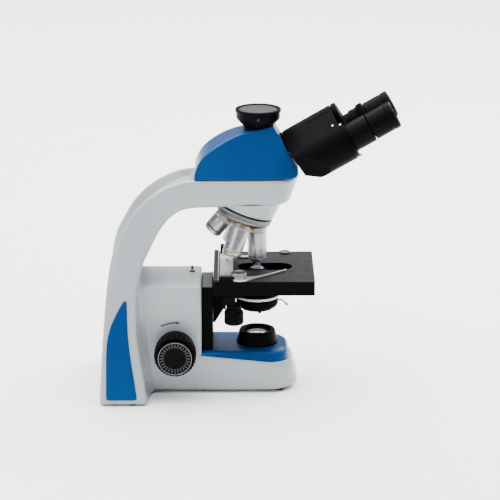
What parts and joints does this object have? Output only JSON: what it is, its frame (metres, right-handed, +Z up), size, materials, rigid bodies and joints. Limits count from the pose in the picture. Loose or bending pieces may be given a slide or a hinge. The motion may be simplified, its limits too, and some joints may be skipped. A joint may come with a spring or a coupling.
{
  "type": "compound microscope",
  "caption": "Upright trinocular compound microscope: arched stand, lit base, mechanical stage, condenser, turning nosepiece with objectives, and a tilted binocular head with a camera port.",
  "frame": {"origin": "middle of the bounding box on the table plane, under the stand and stage", "axes": "+X towards the user, +Y to the user's right, +Z up"},
  "size_m": [0.3675, 0.1872, 0.3664],
  "materials": {
    "white_paint": "satin light grey-white enamel",
    "blue_paint": "satin blue enamel",
    "black_paint": "satin black enamel",
    "black_plastic": "fine-textured black moulding",
    "stage_black": "matt black coating",
    "satin_chrome": "satin chrome plate",
    "steel": "turned steel",
    "brass": "turned brass",
    "rubber": "moulded black rubber",
    "glass": "polished clear glass",
    "circuit_board": "green circuit board"
  },
  "bodies": {
    "stand": {"stand_casting": "white_paint", "base_bottom_plate": "black_paint", "base_top_cover": "blue_paint", "side_panel_left": "blue_paint", "side_panel_right": "blue_paint", "foot_front_left": "rubber", "foot_front_right": "rubber", "foot_rear_left": "rubber", "foot_rear_right": "rubber", "lamp_housing": "black_plastic", "field_lens": "glass", "led_module": "circuit_board", "power_inlet": "black_plastic", "switch_frame": "black_plastic", "nosepiece_housing": "white_paint", "dovetail_guide": "black_paint", "shaft_bush_left": "brass", "shaft_bush_right": "brass"},
    "focus_carriage": {"focus_slide": "black_paint", "focus_rack": "brass", "stage_bracket": "black_paint", "stage_lower_plate": "black_paint"},
    "coarse_drive": {"coarse_shaft": "steel", "coarse_knob_left": "black_plastic", "coarse_knob_right": "black_plastic", "focus_pinion": "brass"},
    "fine_drive": {"fine_shaft": "steel", "fine_knob_left": "black_plastic", "fine_knob_right": "black_plastic"},
    "tension_collar": {"tension_collar": "black_plastic"},
    "stop_screw": {"stage_stop_screw": "steel"},
    "stage_top": {"stage_top_plate": "stage_black", "stage_guide_rail": "steel"},
    "upper_stage_knob": {"stage_y_knob": "black_plastic"},
    "lower_stage_knob": {"stage_x_knob": "black_plastic"},
    "slide_holder": {"slide_holder": "satin_chrome"},
    "holder_finger": {"holder_finger": "satin_chrome"},
    "condenser": {"condenser_carrier": "satin_chrome", "condenser_body": "black_paint", "condenser_lens": "glass"},
    "condenser_knob": {"condenser_knob": "black_plastic"},
    "iris_lever": {"iris_lever": "black_paint"},
    "filter_holder": {"filter_holder": "black_paint"},
    "nosepiece": {"nosepiece_turret": "satin_chrome", "objective_4x": "satin_chrome", "objective_10x": "satin_chrome", "objective_40x": "satin_chrome", "objective_100x": "satin_chrome"},
    "head": {"head_housing": "blue_paint", "photo_tube": "black_paint", "binocular_hinge_pin": "black_paint"},
    "photo_port_cap": {"photo_port_cap": "black_plastic"},
    "left_prism_half": {"prism_housing_left": "black_paint"},
    "right_prism_half": {"prism_housing_right": "black_paint"},
    "diopter_ring": {"diopter_ring": "black_plastic"},
    "eyepiece_left": {"eyepiece_left": "black_plastic"},
    "eyepiece_right": {"eyepiece_right": "black_plastic"},
    "lock_screw": {"head_lock_screw": "steel"},
    "power_switch": {"power_switch": "black_plastic"},
    "dimmer_knob": {"dimmer_knob": "black_plastic"}
  },
  "joints": [
    {"name": "focus_travel", "type": "slide", "parent": "stand", "child": "focus_carriage", "axis": [0, 0, 1], "range_m": [-0.0185, 0]},
    {"name": "coarse_turn", "type": "hinge", "parent": "stand", "child": "coarse_drive", "pos_m": [-0.092, 0, 0.0588], "axis": [0, 1, 0], "range_deg": [0, 133]},
    {"name": "fine_turn", "type": "hinge", "parent": "stand", "child": "fine_drive", "pos_m": [-0.092, 0, 0.0588], "axis": [0, 1, 0], "continuous": true},
    {"name": "tension_turn", "type": "hinge", "parent": "stand", "child": "tension_collar", "pos_m": [-0.092, -0.052, 0.0588], "axis": [0, 1, 0], "range_deg": [-60, 60]},
    {"name": "stop_screw_turn", "type": "hinge", "parent": "stand", "child": "stop_screw", "pos_m": [-0.072, 0.02, 0.1385], "axis": [0, 0, 1], "range_deg": [-180, 180]},
    {"name": "stage_fore_aft", "type": "slide", "parent": "focus_carriage", "child": "stage_top", "axis": [1, 0, 0], "range_m": [-0.014, 0.009]},
    {"name": "upper_stage_knob_turn", "type": "hinge", "parent": "stage_top", "child": "upper_stage_knob", "pos_m": [-0.02, -0.05, 0.116], "axis": [0, 0, 1], "range_deg": [-134, 87]},
    {"name": "slide_holder_travel", "type": "slide", "parent": "stage_top", "child": "slide_holder", "axis": [0, 1, 0], "range_m": [-0.03, 0.034]},
    {"name": "lower_stage_knob_turn", "type": "hinge", "parent": "stage_top", "child": "lower_stage_knob", "pos_m": [-0.02, -0.05, 0.096], "axis": [0, 0, 1], "range_deg": [-215, 244]},
    {"name": "finger_swing", "type": "hinge", "parent": "slide_holder", "child": "holder_finger", "pos_m": [-0.014, -0.058, 0.154], "axis": [0, 0, 1], "range_deg": [-25, 0], "stiffness_Nm_per_rad": 0.05, "springref_deg": 17.19},
    {"name": "condenser_travel", "type": "slide", "parent": "focus_carriage", "child": "condenser", "axis": [0, 0, 1], "range_m": [-0.008, 0]},
    {"name": "condenser_knob_turn", "type": "hinge", "parent": "focus_carriage", "child": "condenser_knob", "pos_m": [-0.035, 0.02, 0.108], "axis": [0, 1, 0], "range_deg": [-144, 0]},
    {"name": "iris_turn", "type": "hinge", "parent": "condenser", "child": "iris_lever", "pos_m": [0.009, 0, 0.1071], "axis": [0, 0, 1], "range_deg": [-30, 30]},
    {"name": "filter_swing", "type": "hinge", "parent": "condenser", "child": "filter_holder", "pos_m": [0.012, -0.022, 0.0983], "axis": [0, 0, 1], "range_deg": [-90, 0]},
    {"name": "nosepiece_turn", "type": "hinge", "parent": "stand", "child": "nosepiece", "pos_m": [0.009, 0, 0.264], "axis": [-0.342, 0, -0.9397], "continuous": true},
    {"name": "head_turn", "type": "hinge", "parent": "stand", "child": "head", "pos_m": [0.009, 0, 0.27], "axis": [0, 0, 1], "range_deg": [-180, 180]},
    {"name": "cap_lift", "type": "slide", "parent": "head", "child": "photo_port_cap", "axis": [0, 0, 1], "range_m": [0, 0.03]},
    {"name": "left_tube_swing", "type": "hinge", "parent": "head", "child": "left_prism_half", "pos_m": [0.07603, 0, 0.32391], "axis": [0.866, 0, 0.5], "range_deg": [-29, 3.3]},
    {"name": "right_tube_swing", "type": "hinge", "parent": "head", "child": "right_prism_half", "pos_m": [0.07603, 0, 0.32391], "axis": [0.866, 0, 0.5], "range_deg": [-3.3, 29]},
    {"name": "diopter_turn", "type": "hinge", "parent": "left_prism_half", "child": "diopter_ring", "pos_m": [0.13356, -0.029, 0.32826], "axis": [0.866, 0, 0.5], "range_deg": [-90, 90]},
    {"name": "left_eyepiece_pull", "type": "slide", "parent": "left_prism_half", "child": "eyepiece_left", "axis": [0.866, 0, 0.5], "range_m": [0, 0.018]},
    {"name": "right_eyepiece_pull", "type": "slide", "parent": "right_prism_half", "child": "eyepiece_right", "axis": [0.866, 0, 0.5], "range_m": [0, 0.018]},
    {"name": "lock_screw_turn", "type": "hinge", "parent": "stand", "child": "lock_screw", "pos_m": [0.009, 0.036, 0.264], "axis": [0, 1, 0], "range_deg": [0, 360]},
    {"name": "power_switch_rock", "type": "hinge", "parent": "stand", "child": "power_switch", "pos_m": [-0.156, -0.022, 0.032], "axis": [0, 1, 0], "range_deg": [0, 10]},
    {"name": "dimmer_turn", "type": "hinge", "parent": "stand", "child": "dimmer_knob", "pos_m": [-0.006, 0.046, 0.024], "axis": [0, 1, 0], "range_deg": [0, 270]}
  ],
  "couplings": [
    {"joint": "coarse_turn", "follows": "focus_travel", "rad_per_m": -125},
    {"joint": "upper_stage_knob_turn", "follows": "stage_fore_aft", "rad_per_m": 166.67},
    {"joint": "lower_stage_knob_turn", "follows": "slide_holder_travel", "rad_per_m": 125},
    {"joint": "condenser_knob_turn", "follows": "condenser_travel", "rad_per_m": 312.5},
    {"joint": "right_tube_swing", "follows": "left_tube_swing", "ratio": -1}
  ]
}
